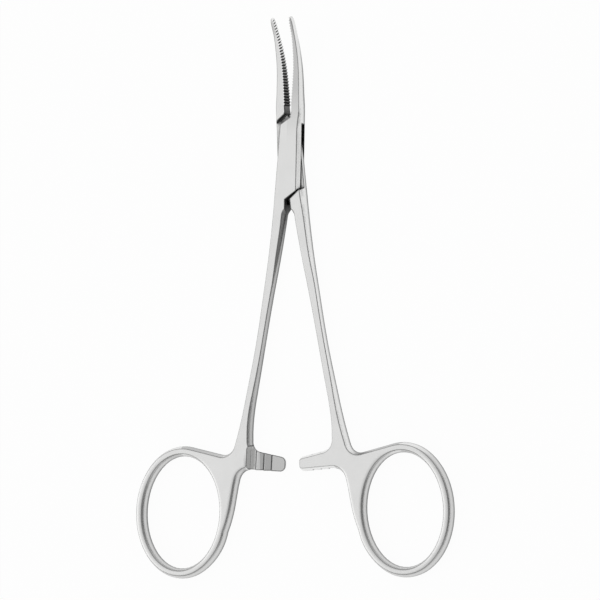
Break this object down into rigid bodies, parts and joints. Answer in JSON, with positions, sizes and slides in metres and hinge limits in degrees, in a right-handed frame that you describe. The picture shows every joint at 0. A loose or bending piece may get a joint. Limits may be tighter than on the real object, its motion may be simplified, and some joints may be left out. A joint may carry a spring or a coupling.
{
  "type": "hemostat forceps",
  "caption": "Locking artery forceps with fine curved serrated jaws, a box lock, finger rings and a stepped ratchet, for clamping small vessels.",
  "frame": {"origin": "where the hinge axis meets the back face of the box lock", "axes": "+Y towards the jaw tips, +Z along the hinge axis towards the side that the jaws curve to, +X to the right"},
  "size_m": [0.0798, 0.1234, 0.006],
  "materials": {
    "satin_steel": "satin ground and tumbled stainless steel",
    "pin_steel": "ground flush and satin finished with the box"
  },
  "bodies": {
    "female_half": {"female_arm": "satin_steel", "lock_pin": "pin_steel"},
    "male_half": {"male_arm": "satin_steel"}
  },
  "joints": [
    {"name": "box_lock", "type": "hinge", "parent": "female_half", "child": "male_half", "pos_m": [0, 0, 0], "axis": [0, 0, 1], "range_deg": [-7.4, 52.6]}
  ]
}
